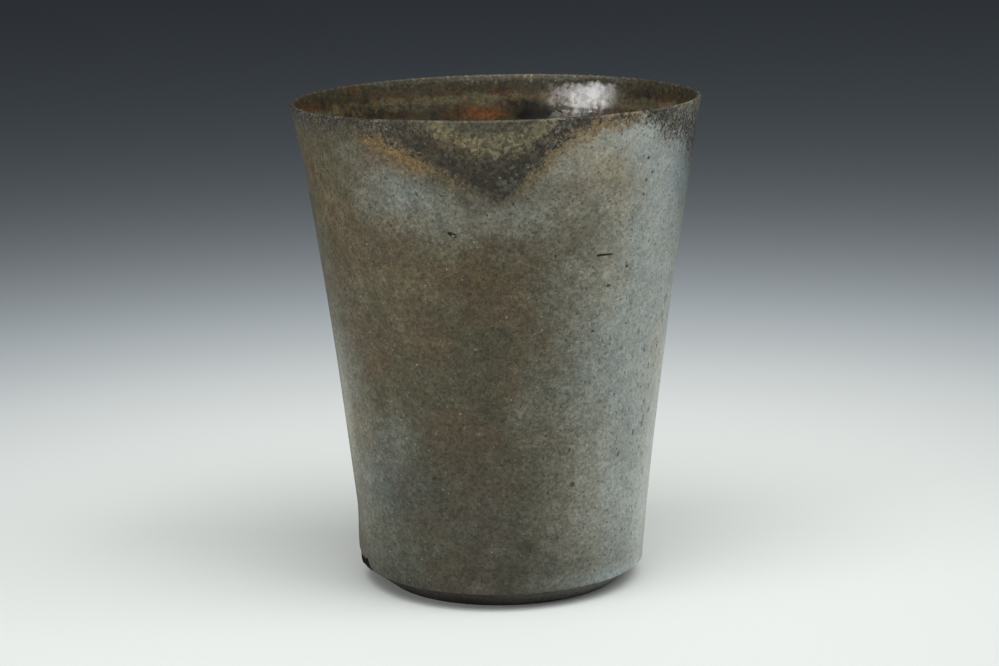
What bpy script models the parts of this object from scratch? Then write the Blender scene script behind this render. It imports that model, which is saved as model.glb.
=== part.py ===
"""Wheel-thrown stoneware juice cup: one clay body and the three glaze coats that are fused on it.

Metres, +Z up. The origin is on the table under the middle of the foot, and the front faces -Y.
Azimuths run from the front towards +X. A coat's thickness is measured square to the cup's axis.
"""

import math

import bmesh
import bpy

# Overall sizes of the finished cup
HEIGHT = 0.101
RIM_DIAMETER = 0.0834
EDGE_DIAMETER = 0.0586  # outside, where the wall ends above the bevel
FOOT_DIAMETER = 0.0484
BEVEL_HEIGHT = 0.0038
WALL_BOW = 0.0009  # how far the wall runs inside a straight cone at half its height

# The clay under the coats
LIP_CLAY = 0.0010
WALL_CLAY = 0.0034  # where the wall meets the floor
FLOOR_CLAY = 0.0048
FLOOR_FILLET = 0.007
STANDING_RING = 0.007  # width of the flat ring that the cup stands on
RECESS_DEPTH = 0.0007  # trimmed hollow inside that ring

# The glaze coats
COAT_GAP = 0.0003  # between a coat and what it lies on or meets
OUTER_COAT = 0.0005
RIM_COAT = 0.0005
LINER_COAT = 0.0005
LINER_POOL = 0.0013  # the liner glaze runs down and stands deeper on the floor
RIM_BAND = 0.0024  # the rim glaze reaches this far below the lip on the outside
RIM_INSIDE = 0.0014  # and this far down the inside

# The rim glaze runs down the outside in pointed tongues, between the dips of the outer glaze
TONGUE_AZIMUTHS = (0, 86, 172, 262)  # degrees, of each point
TONGUE_LEFT_SPANS = (30, 36, 32, 34)  # degrees, from the point to where it meets the band
TONGUE_RIGHT_SPANS = (20, 24, 26, 22)
TONGUE_DEPTHS = (0.0117, 0.0125, 0.0135, 0.0108)

# How finely the round pieces are cut
COLUMNS = 60
WALL_ROWS = 5
TONGUE_ROWS = 3
ARC_STEPS = 6

LIP_RADIUS = LIP_CLAY / 2
LIP_CENTRE_Z = HEIGHT - RIM_COAT - COAT_GAP - LIP_RADIUS
CLAY_RIM_RADIUS = RIM_DIAMETER / 2 - RIM_COAT - COAT_GAP
CLAY_EDGE_RADIUS = EDGE_DIAMETER / 2 - OUTER_COAT - COAT_GAP
LIP_CENTRE_RADIUS = CLAY_RIM_RADIUS - LIP_RADIUS
FILLET_TOP = FLOOR_CLAY + FLOOR_FILLET


def mix(start, end, share):
    return start + (end - start) * share


def steps(start, end, count):
    """Evenly spaced values from start to end, both included."""
    return [mix(start, end, i / count) for i in range(count + 1)]


def clay_outside(z):
    """Outer radius of the clay wall: a cone that bows in a little and flares to the rim."""
    share = (z - BEVEL_HEIGHT) / (LIP_CENTRE_Z - BEVEL_HEIGHT)
    return mix(CLAY_EDGE_RADIUS, CLAY_RIM_RADIUS, share) - 4 * WALL_BOW * share * (1 - share)


def clay_inside(z):
    """Inner radius of the clay wall, which thins from the floor to the lip."""
    share = (z - FILLET_TOP) / (LIP_CENTRE_Z - FILLET_TOP)
    return clay_outside(z) - mix(WALL_CLAY, LIP_CLAY, share)


def lip_arc(depth):
    """Points over the lip from outside to inside, standing off the clay's round edge by depth."""
    radius = LIP_RADIUS + depth
    return [
        (LIP_CENTRE_RADIUS + radius * math.cos(angle), LIP_CENTRE_Z + radius * math.sin(angle))
        for angle in steps(0, math.pi, ARC_STEPS)
    ]


def floor_arc(wall_depth, floor_depth):
    """Points round the corner from the inner wall to the floor, standing off the clay by a depth
    that changes from wall_depth to floor_depth."""
    centre_radius = clay_inside(FILLET_TOP) - FLOOR_FILLET
    points = []
    for share in steps(0, 1, ARC_STEPS):
        angle = share * math.pi / 2
        radius = FLOOR_FILLET - mix(wall_depth, floor_depth, share)
        points.append((centre_radius + radius * math.cos(angle), FILLET_TOP - radius * math.sin(angle)))
    return points


def glaze_line(azimuth):
    """Height on the outside where the rim glaze ends and the outer glaze begins, at an azimuth in degrees."""
    drop = 0
    tongues = zip(TONGUE_AZIMUTHS, TONGUE_LEFT_SPANS, TONGUE_RIGHT_SPANS, TONGUE_DEPTHS)
    for point, left_span, right_span, depth in tongues:
        away = (azimuth - point + 180) % 360 - 180
        share = -away / left_span if away < 0 else away / right_span
        drop = max(drop, depth * (1 - share))
    return LIP_CENTRE_Z - RIM_BAND - drop


def finish(name, colour, roughness):
    """A fired surface: its colour and how matt it is."""
    material = bpy.data.materials.new(name)
    material.use_nodes = True
    shader = material.node_tree.nodes["Principled BSDF"]
    shader.inputs["Base Color"].default_value = (*colour, 1)
    shader.inputs["Roughness"].default_value = roughness
    shader.inputs["Metallic"].default_value = 0
    return material


def add_piece(name, mesh, material):
    piece = bpy.data.objects.new(name, mesh)
    bpy.context.scene.collection.objects.link(piece)
    mesh.materials.append(material)
    return piece


def turned_piece(name, profile, material):
    """A solid turned about the axis from a profile of (radius, height) that starts and ends on it.
    The profile runs up its inner side and down its outer side."""
    mesh = bpy.data.meshes.new(name)
    points = [(radius, 0, z) for radius, z in profile]
    mesh.from_pydata(points, [(i, i + 1) for i in range(len(points) - 1)], [])
    piece = add_piece(name, mesh, material)
    turn = piece.modifiers.new("turn", "SCREW")
    turn.steps = turn.render_steps = COLUMNS
    turn.use_merge_vertices = True
    turn.merge_threshold = 0.00001
    turn.use_smooth_shade = True
    return piece


def wrapped_coat(name, section, material):
    """A closed ring of glaze. section(azimuth) gives its closed outline there, as (radius, height)."""
    form = bmesh.new()
    outlines = []
    for column in range(COLUMNS):
        azimuth = 360 * column / COLUMNS
        across, along = math.sin(math.radians(azimuth)), -math.cos(math.radians(azimuth))
        outlines.append([form.verts.new((r * across, r * along, z)) for r, z in section(azimuth)])
    for column, outline in enumerate(outlines):
        following = outlines[(column + 1) % COLUMNS]
        for i in range(len(outline)):
            j = (i + 1) % len(outline)
            form.faces.new((outline[i], following[i], following[j], outline[j]))
    bmesh.ops.recalc_face_normals(form, faces=form.faces)
    mesh = bpy.data.meshes.new(name)
    form.to_mesh(mesh)
    form.free()
    mesh.shade_smooth()
    mesh.set_sharp_from_angle(angle=math.radians(40))
    return add_piece(name, mesh, material)


def make_clay_body():
    """The thrown and trimmed clay: floor, wall, round lip, bevel and the ring that it stands on."""
    foot_radius = FOOT_DIAMETER / 2
    recess_radius = foot_radius - STANDING_RING
    inner_wall = [(clay_inside(z), z) for z in steps(FILLET_TOP, LIP_CENTRE_Z, WALL_ROWS)]
    outer_wall = [(clay_outside(z), z) for z in steps(LIP_CENTRE_Z, BEVEL_HEIGHT, WALL_ROWS)]
    profile = [(0, FLOOR_CLAY)]
    profile += floor_arc(0, 0)[:0:-1]
    profile += inner_wall
    profile += lip_arc(0)[-2:0:-1]
    profile += outer_wall
    profile += [
        (foot_radius, 0),
        (recess_radius, 0),
        (recess_radius - RECESS_DEPTH, RECESS_DEPTH),
        (0, RECESS_DEPTH),
    ]
    turned_piece("clay_body", profile, finish("fired_clay", (0.075, 0.066, 0.060), 0.75))


def make_liner_glaze():
    """The glossy coat poured inside: thin on the wall, deeper on the floor."""
    top = LIP_CENTRE_Z - RIM_INSIDE
    under, over = COAT_GAP, COAT_GAP + LINER_COAT
    heights = steps(FILLET_TOP, top, WALL_ROWS)
    profile = [(0, FLOOR_CLAY + COAT_GAP + LINER_POOL)]
    profile += floor_arc(over, COAT_GAP + LINER_POOL)[:0:-1]
    profile += [(clay_inside(z) - over, z) for z in heights]
    profile += [(clay_inside(z) - under, z) for z in reversed(heights)]
    profile += floor_arc(under, under)[1:]
    profile += [(0, FLOOR_CLAY + COAT_GAP)]
    turned_piece("liner_glaze", profile, finish("amber_liner_glaze", (0.105, 0.050, 0.016), 0.18))


def make_outer_glaze():
    """The matt coat on the outside, from the bevel's edge up to the rim glaze."""
    under, over = COAT_GAP, COAT_GAP + OUTER_COAT

    def section(azimuth):
        heights = steps(BEVEL_HEIGHT, glaze_line(azimuth) - COAT_GAP, WALL_ROWS)
        face = [(clay_outside(z) + over, z) for z in heights]
        back = [(clay_outside(z) + under, z) for z in reversed(heights)]
        return face + back

    wrapped_coat("outer_glaze", section, finish("matt_outer_glaze", (0.150, 0.145, 0.122), 0.55))


def make_rim_glaze():
    """The dark ash glaze over the lip, with its tongues down the outside."""
    under, over = COAT_GAP, COAT_GAP + RIM_COAT
    inner_end = LIP_CENTRE_Z - RIM_INSIDE + COAT_GAP

    def section(azimuth):
        heights = steps(glaze_line(azimuth), LIP_CENTRE_Z, TONGUE_ROWS)[:-1]
        face = [(clay_outside(z) + over, z) for z in heights] + lip_arc(over)
        face += [(clay_inside(inner_end) - over, inner_end)]
        back = [(clay_inside(inner_end) - under, inner_end)] + lip_arc(under)[::-1]
        back += [(clay_outside(z) + under, z) for z in reversed(heights)]
        return face + back

    wrapped_coat("rim_glaze", section, finish("dark_ash_glaze", (0.085, 0.075, 0.052), 0.45))


for leftover in list(bpy.data.objects):
    bpy.data.objects.remove(leftover)

make_clay_body()
make_liner_glaze()
make_outer_glaze()
make_rim_glaze()
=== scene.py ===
import math
import random

import bmesh
import bpy
import numpy as np
from mathutils import Matrix, Vector, kdtree, noise


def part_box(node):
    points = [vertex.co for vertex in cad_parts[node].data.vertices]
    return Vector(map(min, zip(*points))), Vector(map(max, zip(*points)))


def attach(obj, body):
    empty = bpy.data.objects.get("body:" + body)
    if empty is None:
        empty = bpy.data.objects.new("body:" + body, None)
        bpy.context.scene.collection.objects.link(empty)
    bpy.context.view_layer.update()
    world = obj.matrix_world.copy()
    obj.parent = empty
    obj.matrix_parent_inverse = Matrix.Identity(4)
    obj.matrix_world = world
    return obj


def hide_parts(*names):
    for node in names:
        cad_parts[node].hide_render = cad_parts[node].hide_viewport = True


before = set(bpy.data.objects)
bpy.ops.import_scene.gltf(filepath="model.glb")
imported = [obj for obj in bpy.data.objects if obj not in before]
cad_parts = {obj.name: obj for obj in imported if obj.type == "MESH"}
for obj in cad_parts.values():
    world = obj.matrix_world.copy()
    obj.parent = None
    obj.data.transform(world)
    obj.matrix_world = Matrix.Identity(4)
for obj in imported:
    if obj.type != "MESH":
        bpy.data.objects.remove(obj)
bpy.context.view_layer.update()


# Clay body: one lump of dark, gritty stoneware, thrown on a wheel and trimmed upside down when leather-hard.
# Its bevel and its foot stay bare, with a scar where the edge was broken off; the scar's near-black is
# painted shade in its hollow.
# The glazes cover the rest of it, and hold because they melted onto it.

def cad_radius(node, height):
    """The largest radius that a CAD node has at one of its own heights."""
    points = [v.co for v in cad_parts[node].data.vertices if abs(v.co.z - height) < 1e-5]
    return max(math.hypot(p.x, p.y) for p in points)


LIP_ROUND = 0.00055  # radius of the lip's edge
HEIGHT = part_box("rim_glaze")[1].z
LIP_Z = HEIGHT - LIP_ROUND
BEVEL_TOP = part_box("outer_glaze")[0].z
RIM_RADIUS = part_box("rim_glaze")[1].x
EDGE_RADIUS = cad_radius("outer_glaze", BEVEL_TOP)
FOOT_RADIUS = cad_radius("clay_body", 0)
WALL_BOW = 0.0009  # how far the wall runs inside a straight cone at half its height
COAT = 0.0004  # from the clay to a coat's face
BACK_GAP = 0.00003  # between the clay and a coat's back
FLOOR_TOP = 0.0064  # of the glaze pooled inside
FILLET = 0.0062
FILLET_TOP = FLOOR_TOP + FILLET
LOW_WALL = 0.0050  # whole wall, coats included, above the fillet
LIP_WALL = 2 * LIP_ROUND
STANDING_RING = 0.007
RECESS_DEPTH = 0.0007
FOOT_EASE = 0.0002  # the foot's edges are sponged round
CLAY_COLUMNS = 360
TRIM_LINES = 5
TRIM_DEPTH = 0.00005
SCARS = (  # azimuth from the front, positive to the right, and half width in degrees; height above the bevel
    (-88, 9.0, 0.0027),
    (-76, 6.5, 0.0021),
)
SCAR_JAGS = 25  # notches in the broken edge, per radian
SCAR_TOP = 0.009  # finer rows up to here
SCAR_FILL = 0.00024  # the scar's face stands lower than the coat
SCAR_LUMP = 0.0012
ROLL = 0.0008  # the wall rolls out above the scar
ROLL_AZIMUTH, ROLL_SPAN = -88, 15
ROLL_START, ROLL_END = (1.5, 4), (17, 6)  # heights in millimetres between which it sets in and fades out
BEVEL_LIGHT, BEVEL_LIGHT_AZIMUTH, BEVEL_LIGHT_SPAN = 0.95, 64, 42  # painted light: the bare clay is paler and greyer here, where the floor and the right lamp light the bevel


def mix(start, end, share):
    return start + (end - start) * share


def ease(low, high, value):
    """0 below low, 1 above high and a smooth rise between; works on numbers and arrays."""
    share = np.clip((value - low) / (high - low), 0, 1)
    return share * share * (3 - 2 * share)


def steps(start, end, count):
    return [mix(start, end, i / count) for i in range(count + 1)]


def wall(z):
    """Radius of the finished outside."""
    share = (z - BEVEL_TOP) / (LIP_Z - BEVEL_TOP)
    return mix(EDGE_RADIUS, RIM_RADIUS, share) - 4 * WALL_BOW * share * (1 - share)


def bowl(z):
    """Radius of the finished inside, above the fillet."""
    return wall(z) - mix(LOW_WALL, LIP_WALL, (z - FILLET_TOP) / (LIP_Z - FILLET_TOP))


def arc(radius, z, size, start, end, count):
    """Points on an arc about (radius, z), with angles in degrees from straight out, upwards positive."""
    turns = [math.radians(angle) for angle in steps(start, end, count)]
    return [(radius + size * math.cos(a), z + size * math.sin(a)) for a in turns]


def turned(name, outline, columns):
    """A closed mesh about the axis. outline(azimuth) gives its closed section as (radius, height).
    Azimuths start at the front, -Y, and run towards +X."""
    form = bmesh.new()
    sections = []
    for column in range(columns):
        azimuth = 2 * math.pi * column / columns
        across, along = math.sin(azimuth), -math.cos(azimuth)
        sections.append([form.verts.new((r * across, r * along, z)) for r, z in outline(azimuth)])
    for column, section in enumerate(sections):
        following = sections[(column + 1) % columns]
        for i in range(len(section)):
            j = (i + 1) % len(section)
            form.faces.new((section[i], following[i], following[j], section[j]))
    bmesh.ops.remove_doubles(form, verts=form.verts, dist=1e-7)
    bmesh.ops.delete(form, geom=[edge for edge in form.edges if not edge.link_faces], context="EDGES")
    bmesh.ops.recalc_face_normals(form, faces=form.faces)
    mesh = bpy.data.meshes.new(name)
    form.to_mesh(mesh)
    form.free()
    return mesh


def on_wall(mesh):
    """The azimuth in degrees, height in millimetres and radius of each vertex."""
    points = np.empty(3 * len(mesh.vertices), np.float32)
    mesh.vertices.foreach_get("co", points)
    x, y, z = points.reshape(-1, 3).astype(float).T
    return np.degrees(np.arctan2(x, -y)), 1000 * z, np.hypot(x, y)


def short_way(azimuth, start):
    """Degrees from start to azimuth by the shorter way round; works on numbers and arrays."""
    return (azimuth - start + 180) % 360 - 180


def sector(azimuths, azimuth, wide):
    """1 at one azimuth and 0 well away from it. Its half width is in degrees."""
    return np.exp(-(short_way(azimuths, azimuth) / wide) ** 2)


def patch(azimuths, heights, azimuth, height, wide, tall):
    """1 at the middle of an oval patch and 0 well outside it. Sizes are in degrees and millimetres."""
    return sector(azimuths, azimuth, wide) * np.exp(-((heights - height) / tall) ** 2)


def keep(mesh, name, values):
    """Stores a value for each vertex, for a material to read."""
    mesh.attributes.new(name, "FLOAT", "POINT").data.foreach_set("value", np.asarray(values, np.float32))


LEAN = 0.0003  # the top stands this far to the right of the foot
LEAN_HEIGHTS = (0.03, 0.09)  # it leans between these
SWELL = 0.00012  # slow unevenness of the wall
SWELL_LENGTH = 0.03
SWELL_HEIGHTS = (0.002, 0.015)  # it sets in between these
LIP_WAVER = 0.00012
WAVER_HEIGHT = 0.08  # the lip's waver reaches down to here
FLARE = 0.0005  # the lip stands out this much more at the left
FLARE_DIP = 0.0005  # and is this much lower there
FLARE_AZIMUTH, FLARE_SPAN = -80, 50
FLARE_REACH = 0.014  # below the lip


def thrown_by_hand(mesh):
    """Moves a turned mesh off true, as a cup leaves the wheel. All the coats move alike."""
    for vertex in mesh.vertices:
        x, y, z = vertex.co
        radius = math.hypot(x, y)
        if radius > 1e-6:
            swell = SWELL * noise.noise(vertex.co / SWELL_LENGTH) * float(ease(*SWELL_HEIGHTS, z))
            vertex.co.x += x / radius * swell + LEAN * float(ease(*LEAN_HEIGHTS, z))
            vertex.co.y += y / radius * swell
            waver = noise.noise(Vector((x, y, 0)) / SWELL_LENGTH)
            vertex.co.z += LIP_WAVER * waver * float(ease(WAVER_HEIGHT, HEIGHT, z))
            azimuth = math.degrees(math.atan2(x, -y))
            flare = sector(azimuth, FLARE_AZIMUTH, FLARE_SPAN) * ease(HEIGHT - FLARE_REACH, HEIGHT, z)
            vertex.co += Vector((x / radius * FLARE, y / radius * FLARE, -FLARE_DIP)) * float(flare)


def finish_piece(name, mesh, material, node=None, sharp=40):
    """Makes the mesh an object of the cup's one body, smooth but for its sharp edges."""
    mesh.name = name
    piece = bpy.data.objects.new(name, mesh)
    bpy.context.scene.collection.objects.link(piece)
    mesh.materials.append(material)
    mesh.shade_smooth()
    mesh.set_sharp_from_angle(angle=math.radians(sharp))
    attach(piece, "root")
    if node:
        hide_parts(node)


def add(tree, kind, inputs=None, **settings):
    """A node with its settings. Each input is a value, or the output that it is linked to."""
    made = tree.nodes.new(kind)
    for name, value in settings.items():
        setattr(made, name, value)
    for name, value in (inputs or {}).items():
        if isinstance(value, bpy.types.NodeSocket):
            tree.links.new(value, made.inputs[name])
        else:
            made.inputs[name].default_value = value
    return made


def work_out(tree, operation, *values):
    """The output of a Math node on numbers or outputs."""
    return add(tree, "ShaderNodeMath", dict(enumerate(values)), operation=operation).outputs[0]


def times(tree, value, *others):
    """The product of numbers or outputs."""
    for other in others:
        value = work_out(tree, "MULTIPLY", value, other)
    return value


def rise(tree, value, low, high):
    """0 where value is below low, 1 above high, with a smooth rise between. Low may be the larger one."""
    limits = {"Value": value, "From Min": low, "From Max": high}
    return add(tree, "ShaderNodeMapRange", limits, interpolation_type="SMOOTHSTEP").outputs[0]


def blend(tree, share, under, over, way="MIX"):
    """The colour over laid on the colour under. Colours are (r, g, b) or outputs."""
    under, over = [(*c, 1) if isinstance(c, tuple) else c for c in (under, over)]
    return add(tree, "ShaderNodeMix", {0: share, 6: under, 7: over}, data_type="RGBA",
               blend_type=way).outputs[2]


def grain(tree, size, detail=2, stretch=1):
    """Noise from 0 to 1 with lumps of about this size in metres, drawn out in height by stretch."""
    place = add(tree, "ShaderNodeTexCoord").outputs["Object"]
    if stretch != 1:
        place = add(tree, "ShaderNodeMapping", {"Vector": place, "Scale": (1, 1, 1 / stretch)}).outputs[0]
    made = add(tree, "ShaderNodeTexNoise", {"Vector": place, "Scale": 1 / size, "Detail": detail})
    return made.outputs[0]


def stirred(tree, value, *noises):
    """The value moved up and down by noises, each given with its amount."""
    for lumps, amount in noises:
        value = work_out(tree, "MULTIPLY_ADD", work_out(tree, "SUBTRACT", lumps, 0.5), amount, value)
    return value


def read(tree, name):
    return add(tree, "ShaderNodeAttribute", attribute_name=name).outputs["Fac"]


RAGGED_LENGTH = 0.0004  # the grains' edges wander over this length
RAGGED_SHIFT = (0.0006, 0.0006, 0.0006)  # and as far as this


def cells(tree, size):
    """Ragged grains of about this size in metres: the distance from each one's middle, and two chances
    for each."""
    ragged = tree.nodes.get("ragged")
    if not ragged:
        place = add(tree, "ShaderNodeTexCoord").outputs["Object"]
        wander = {"Vector": place, "Scale": 1 / RAGGED_LENGTH, "Detail": 1}
        shift = add(tree, "ShaderNodeTexNoise", wander).outputs["Color"]
        ragged = add(tree, "ShaderNodeVectorMath", {0: shift, 1: RAGGED_SHIFT, 2: place},
                     operation="MULTIPLY_ADD", name="ragged")
    made = add(tree, "ShaderNodeTexVoronoi", {"Vector": ragged.outputs[0], "Scale": 1 / size}).outputs
    chances = add(tree, "ShaderNodeSeparateColor", {0: made["Color"]}).outputs
    return made["Distance"], chances[0], chances[1]


def dots(tree, size, radius, share):
    """1 in round dots. Size is their spacing, radius a part of it, and share how many places have one."""
    away, chance = cells(tree, size)[:2]
    return times(tree, rise(tree, away, radius, 0.6 * radius), work_out(tree, "LESS_THAN", chance, share))


def shader_group(name, inputs, outputs):
    """A node group with number inputs and the named outputs, to be filled in."""
    group = bpy.data.node_groups.new(name, "ShaderNodeTree")
    for socket in inputs:
        group.interface.new_socket(socket, in_out="INPUT", socket_type="NodeSocketFloat")
    for socket, kind in outputs.items():
        group.interface.new_socket(socket, in_out="OUTPUT", socket_type=kind)
    return group, add(group, "NodeGroupInput").outputs, add(group, "NodeGroupOutput").inputs


def fired_material(name, inputs, relief):
    """A material with one Principled BSDF and a Bump of this many metres, and its node tree."""
    material = bpy.data.materials.new(name)
    material.use_nodes = True
    tree = material.node_tree
    shader = tree.nodes["Principled BSDF"]
    for socket, value in inputs.items():
        shader.inputs[socket].default_value = value
    bump = add(tree, "ShaderNodeBump", {"Strength": 1, "Distance": relief})
    tree.links.new(bump.outputs[0], shader.inputs["Normal"])
    return material, tree, shader.inputs, bump.inputs["Height"]


# Speckle of fired clay: grains of two sizes that shade every colour of the cup, and a soft unevenness
GRIT_SIZE = 0.0006
DUST_SIZE = 0.00032
speckle, given, result = shader_group(
    "fired_speckle", ["Strength"],
    {"Shade": "NodeSocketFloat", "Grit": "NodeSocketFloat", "Dust": "NodeSocketFloat"})
grit, dust = cells(speckle, GRIT_SIZE)[1], cells(speckle, DUST_SIZE)[1]
both = work_out(speckle, "SUBTRACT", work_out(speckle, "ADD", grit, dust), 1)
shade = work_out(speckle, "MULTIPLY_ADD", both, given["Strength"], 1)
speckle.links.new(work_out(speckle, "MAXIMUM", shade, 0.1), result["Shade"])
speckle.links.new(grain(speckle, GRIT_SIZE), result["Grit"])
speckle.links.new(grain(speckle, DUST_SIZE), result["Dust"])


def broken(azimuth):
    """How far above the bevel the coat is broken away; azimuth in degrees."""
    turn = math.radians(azimuth)
    jagged = noise.noise(Vector((math.sin(turn), math.cos(turn), 3)) * SCAR_JAGS)
    shares = [math.exp(-(short_way(azimuth, middle) / wide) ** 4) * tall for middle, wide, tall in SCARS]
    return max(shares) * (1 + 0.5 * jagged)


def roll_out(mesh):
    """Pushes the foot of the wall out above the scar, where the wall was squeezed."""
    azimuths, heights, radii = on_wall(mesh)
    push = ROLL * sector(azimuths, ROLL_AZIMUTH, ROLL_SPAN)
    push *= ease(*ROLL_END, heights) * ease(*ROLL_START, heights)
    z = heights / 1000
    skin = np.where(z > BEVEL_TOP - 1e-5, wall(z) - 2 * COAT, FOOT_RADIUS)
    for i in np.nonzero((radii > skin) & (push > 1e-6))[0]:
        mesh.vertices[i].co.xy *= 1 + push[i] / radii[i]


def clay_outline(azimuth):
    ring_inside = FOOT_RADIUS - STANDING_RING
    clay_edge = wall(BEVEL_TOP) - COAT
    outside = [(0, RECESS_DEPTH), (ring_inside - RECESS_DEPTH, RECESS_DEPTH), (ring_inside, 0)]
    outside += arc(FOOT_RADIUS - FOOT_EASE, FOOT_EASE, FOOT_EASE, -90, -30, 3)
    start, end = outside[-1], (clay_edge, BEVEL_TOP)
    for share in steps(0, 1, 4 * TRIM_LINES)[1:]:
        groove = TRIM_DEPTH * math.sin(2 * math.pi * TRIM_LINES * share)
        outside.append((mix(start[0], end[0], share) - groove, mix(start[1], end[1], share)))
    outside += [(wall(z) - COAT, z) for z in steps(BEVEL_TOP, SCAR_TOP, 12)[1:]]
    outside += [(wall(z) - COAT, z) for z in steps(SCAR_TOP, LIP_Z, 30)[1:]]
    lip = arc(RIM_RADIUS - LIP_ROUND, LIP_Z, LIP_ROUND - COAT, 0, 180, 6)[1:-1]
    inside = [(bowl(z) + COAT, z) for z in steps(LIP_Z, FILLET_TOP, 12)]
    centre = bowl(FILLET_TOP) - FILLET
    inside += arc(centre, FILLET_TOP, FILLET + COAT, 0, -90, 6)[1:]
    return outside + lip + inside + [(0, FLOOR_TOP - COAT)]


clay_mesh = turned("thrown_clay", clay_outline, CLAY_COLUMNS)
azimuths, heights, radii = on_wall(clay_mesh)
# In millimetres: the slag fills what the coat lost, and runs a little way down the bevel
gone = 1000 * np.array([broken(azimuth) for azimuth in azimuths])
above = heights - 1000 * BEVEL_TOP
scar = ease(0.2, 1.2, gone) * ease(0.5, -0.3, above - gone) * ease(-1.4, -0.2, above)
scar[radii < wall(heights / 1000) - 4 * COAT] = 0
keep(clay_mesh, "scar", scar)
keep(clay_mesh, "rusty", scar * ease(1.1, 0.1, above))
# where light is painted on the bevel's right side
keep(clay_mesh, "painted_light", BEVEL_LIGHT * sector(azimuths, BEVEL_LIGHT_AZIMUTH, BEVEL_LIGHT_SPAN))
for vertex, share, radius in zip(clay_mesh.vertices, scar, radii):
    if share > 0:
        scarred = 1 + 0.8 * noise.noise(vertex.co / SCAR_LUMP)
        vertex.co.xy *= 1 + SCAR_FILL * share * scarred / radius
roll_out(clay_mesh)
thrown_by_hand(clay_mesh)

DARK_CLAY, TOASTED_CLAY = (0.033, 0.029, 0.025), (0.050, 0.041, 0.033)
PAINTED_LIGHT_GREY = (0.130, 0.128, 0.116)
# near-black painted shade in the scar's hollow
SCAR_SHADE_BLACK = (0.006, 0.005, 0.004)
SCAR_RUST = (0.085, 0.040, 0.022)
bare_clay, tree, clay_shader, clay_height = fired_material(
    "bare_clay", {"Specular IOR Level": 0.12}, relief=0.00006)
grit = add(tree, "ShaderNodeGroup", {"Strength": 0.5}, node_tree=speckle).outputs
toast = rise(tree, grain(tree, 0.012), 0.35, 0.7)
colour = blend(tree, toast, DARK_CLAY, TOASTED_CLAY)
# painted light: the bevel is greyer and paler on its lit right side
colour = blend(tree, read(tree, "painted_light"), colour, PAINTED_LIGHT_GREY)
colour = blend(tree, 1, colour, grit["Shade"], "MULTIPLY")
# painted shade: the scar's hollow is coloured near-black
scarred = rise(tree, stirred(tree, read(tree, "scar"), (grit["Grit"], 0.4)), 0.15, 0.40)
colour = blend(tree, scarred, colour, SCAR_SHADE_BLACK)
rusty = rise(tree, stirred(tree, read(tree, "rusty"), (grit["Grit"], 1.4)), 0.85, 1.10)
colour = blend(tree, rusty, colour, SCAR_RUST)
tree.links.new(colour, clay_shader["Base Color"])
tree.links.new(work_out(tree, "MULTIPLY_ADD", scarred, 0.2, 0.80), clay_shader["Roughness"])
tree.links.new(grit["Grit"], clay_height)
finish_piece("thrown_clay", clay_mesh, bare_clay, "clay_body")


# Liner glaze: a glossy amber glaze poured in and swirled round. It lies over the throwing rings that the
# fingers left, and it ran down and pooled on the floor. Iron in the clay burnt through it in places. One
# near-black patch beside the lamp's highlight is partly a painted dark reflection.

RIM_INSIDE = 0.0016  # the rim glaze reaches this far down the inside
LINER_TOP = LIP_Z - RIM_INSIDE
LINER_COLUMNS = 320
RING_PITCH = 0.0052
RING_WIDTH = 0.0008
RING_HEIGHT = 0.00007
RING_START, RING_TURN = 0.0932, 0.42  # a ridge passes at this height, at this part of a turn from the front
RING_AZIMUTH, RING_SPAN = 160, 28  # where the rings are high
RING_FAINT = 0.35  # part of that height elsewhere
RING_FULL, RING_END = LINER_TOP - 0.004, LINER_TOP - 0.001  # they fade out between these heights
RING_EYE = 0.004  # and inside this radius on the floor
LUMP = 0.0032  # the glaze's face is a little uneven, which breaks up the lamp's reflection
LUMP_HEIGHT = 0.00007
LUMP_FADE = 0.001  # it is even at the lip, and lumpy this far down
SEEN_DEPTH = 0.022  # finer rows this far down
GLOSS_AZIMUTH, GLOSS_SPAN, GLOSS_RISE = 146, 6, 0.7  # the gloss reaches up this many millimetres more here
ASH_GLINT_AZIMUTH, ASH_GLINT_SPAN = 166, 38  # the ash under the lip is coarse and pale here, and its pale strip is also a painted highlight where light catches the back of the lip
ASH_GLINT_START = (126, 144)  # azimuths between which that sets in
ASH_GLINT_LEAST = 0.06  # elsewhere
BLUSHES = (  # orange where the glaze lies thin: azimuth, height, half width in degrees, half height, strength
    (184, 92.8, 7, 2.0, 0.90),
    (-165, 92.8, 8, 1.5, 0.35),
    (178, 96.4, 9, 1.6, 0.40),
    (164, 96.0, 7, 1.8, 0.40),
    (-98, 97, 14, 3.5, 0.75),
    (-132, 100.2, 8, 1.2, 0.60),
    (118, 95, 14, 3.0, 0.40),
    (60, 70, 25, 16, 0.4),
    (-60, 55, 20, 20, 0.3),
    (-150, 40, 30, 15, 0.4),
)
BURNS_AND_DARK_REFLECTION = (  # nearly black where iron came through; the first is partly a painted dark reflection in the glossy glaze
    (168, 92.2, 7, 2.4, 1.3),
    (-144, 94.4, 13, 2.0, 0.60),
    (175, 95.2, 9, 1.4, 0.50),
    (128, 97, 13, 3.0, 0.52),
    (150, 96, 11, 3.0, 0.45),
    (-130, 96, 9, 1.8, 0.50),
    (110, 60, 20, 18, 0.5),
    (-20, 35, 24, 14, 0.5),
)
DULLS = (  # less glossy
    (162, 96, 6, 8, 0.45),
    (135, 97, 4, 6, 0.55),
    (146, 92.6, 14, 1.6, 0.52),
    (143, 93.4, 5, 2.0, 0.40),
    (138, 92.6, 8, 2.0, 0.25),
    (175, 92.6, 9, 2.6, 0.85),
    (-125, 96, 36, 8, 0.40),
    (112, 96, 14, 6, 0.35),
    (-40, 50, 40, 20, 0.3),
)


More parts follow.
